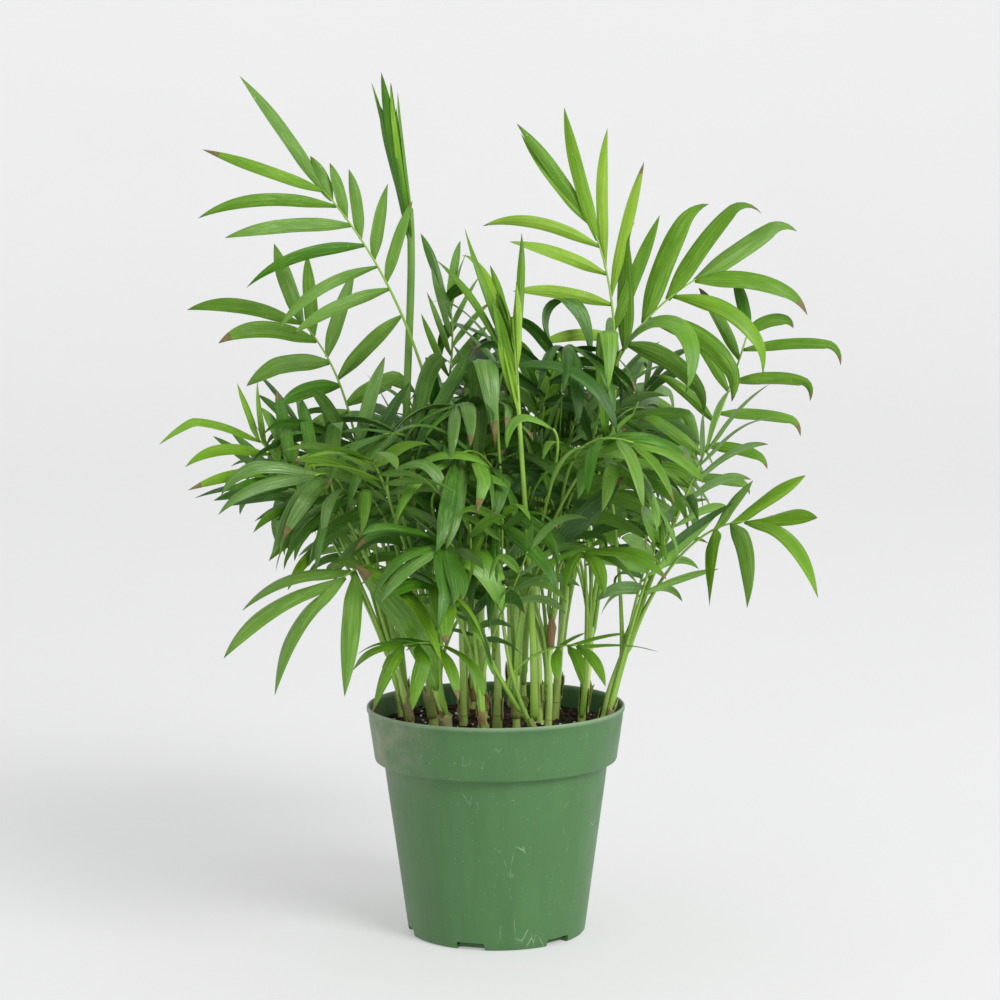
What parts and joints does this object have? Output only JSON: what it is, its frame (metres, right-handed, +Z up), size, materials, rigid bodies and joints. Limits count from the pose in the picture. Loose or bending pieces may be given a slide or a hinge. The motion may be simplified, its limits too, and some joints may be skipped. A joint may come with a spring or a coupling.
{
  "type": "parlour palm",
  "caption": "Clump of slender-stemmed parlour palm seedlings with arching feather-shaped fronds, growing in a round tapered nursery pot filled with potting mix.",
  "frame": {"origin": "centre of the pot's flat underside", "axes": "+Z up the pot's axis, -Y the front of the clump, +X its right seen from the front"},
  "size_m": [0.3947, 0.3825, 0.504],
  "materials": {
    "pot": "satin moulded",
    "potting_mix": "rough crumbly",
    "stems": "smooth green",
    "young_fronds": "satin leaf",
    "grown_fronds": "satin leaf",
    "inner_fronds": "satin leaf"
  },
  "bodies": {
    "root": {"frond_back_left": "inner_fronds", "frond_far_right": "grown_fronds", "frond_front_left": "grown_fronds", "frond_front_low": "grown_fronds", "frond_front_middle": "grown_fronds", "frond_front_right": "grown_fronds", "frond_left_back": "inner_fronds", "frond_left_front": "grown_fronds", "frond_left_middle": "grown_fronds", "frond_left_upper": "grown_fronds", "frond_low_left": "grown_fronds", "frond_low_right": "grown_fronds", "frond_top_left": "grown_fronds", "frond_top_right": "young_fronds", "frond_upper_right": "grown_fronds", "inner_fronds_02": "inner_fronds", "inner_fronds_03": "inner_fronds", "inner_fronds_04": "inner_fronds", "inner_fronds_05": "inner_fronds", "inner_fronds_06": "inner_fronds", "inner_fronds_07": "inner_fronds", "inner_fronds_08": "inner_fronds", "inner_fronds_10": "inner_fronds", "inner_fronds_11": "inner_fronds", "inner_fronds_12": "inner_fronds", "inner_fronds_13": "inner_fronds", "inner_fronds_15": "inner_fronds", "inner_fronds_16": "inner_fronds", "inner_fronds_17": "inner_fronds", "inner_fronds_18": "inner_fronds", "inner_fronds_19": "inner_fronds", "inner_fronds_20": "inner_fronds", "inner_fronds_21": "inner_fronds", "inner_fronds_22": "inner_fronds", "pot": "pot", "potting_mix": "potting_mix", "spear_left": "grown_fronds", "spear_middle": "young_fronds", "stem_01": "stems", "stem_02": "stems", "stem_03": "stems", "stem_04": "stems", "stem_05": "stems", "stem_06": "stems", "stem_07": "stems", "stem_08": "stems", "stem_09": "stems", "stem_10": "stems", "stem_11": "stems", "stem_12": "stems", "stem_13": "stems", "stem_14": "stems", "stem_15": "stems", "stem_16": "stems", "stem_17": "stems", "stem_18": "stems", "stem_19": "stems", "stem_20": "stems", "stem_21": "stems", "stem_22": "stems"}
  },
  "joints": []
}
